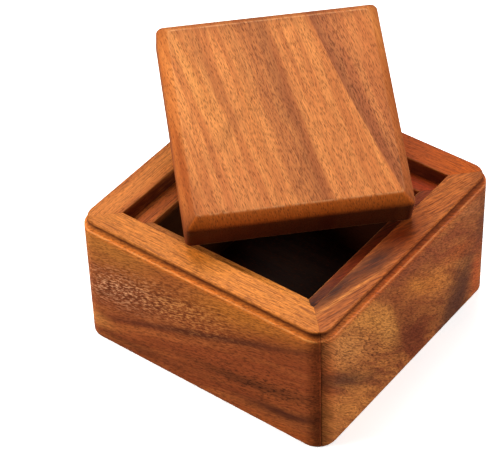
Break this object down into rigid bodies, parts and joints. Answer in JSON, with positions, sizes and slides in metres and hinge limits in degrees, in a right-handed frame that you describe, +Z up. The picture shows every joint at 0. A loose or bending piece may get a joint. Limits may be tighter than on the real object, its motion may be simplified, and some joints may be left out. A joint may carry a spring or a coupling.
{
  "type": "wooden spice box",
  "caption": "Square wooden spice box with thick mitred walls, a moulded top edge and a loose bevelled lid that lies askew across its open seat.",
  "frame": {"origin": "centre of the box's underside, where it rests on a surface", "axes": "+Z up, -Y out of the front wall and +X out of the right wall; the lid's lowest edge lies across the front right corner"},
  "size_m": [0.1394, 0.141, 0.12],
  "materials": {
    "front_wall_wood": "satin oiled",
    "right_wall_wood": "satin oiled",
    "back_wall_wood": "satin oiled",
    "left_wall_wood": "satin oiled",
    "spline_wood": "raw sawn",
    "panel_wood": "raw planed",
    "lid_wood": "satin oiled"
  },
  "bodies": {
    "box": {"front_wall": "front_wall_wood", "right_wall": "right_wall_wood", "back_wall": "back_wall_wood", "left_wall": "left_wall_wood", "front_right_spline": "spline_wood", "back_right_spline": "spline_wood", "back_left_spline": "spline_wood", "front_left_spline": "spline_wood", "bottom_panel": "panel_wood"},
    "lid": {"lid": "lid_wood"}
  },
  "joints": [
    {"name": "lid_lift", "type": "slide", "parent": "box", "child": "lid", "axis": [0, 0, 1], "range_m": [0, 0.09]}
  ]
}
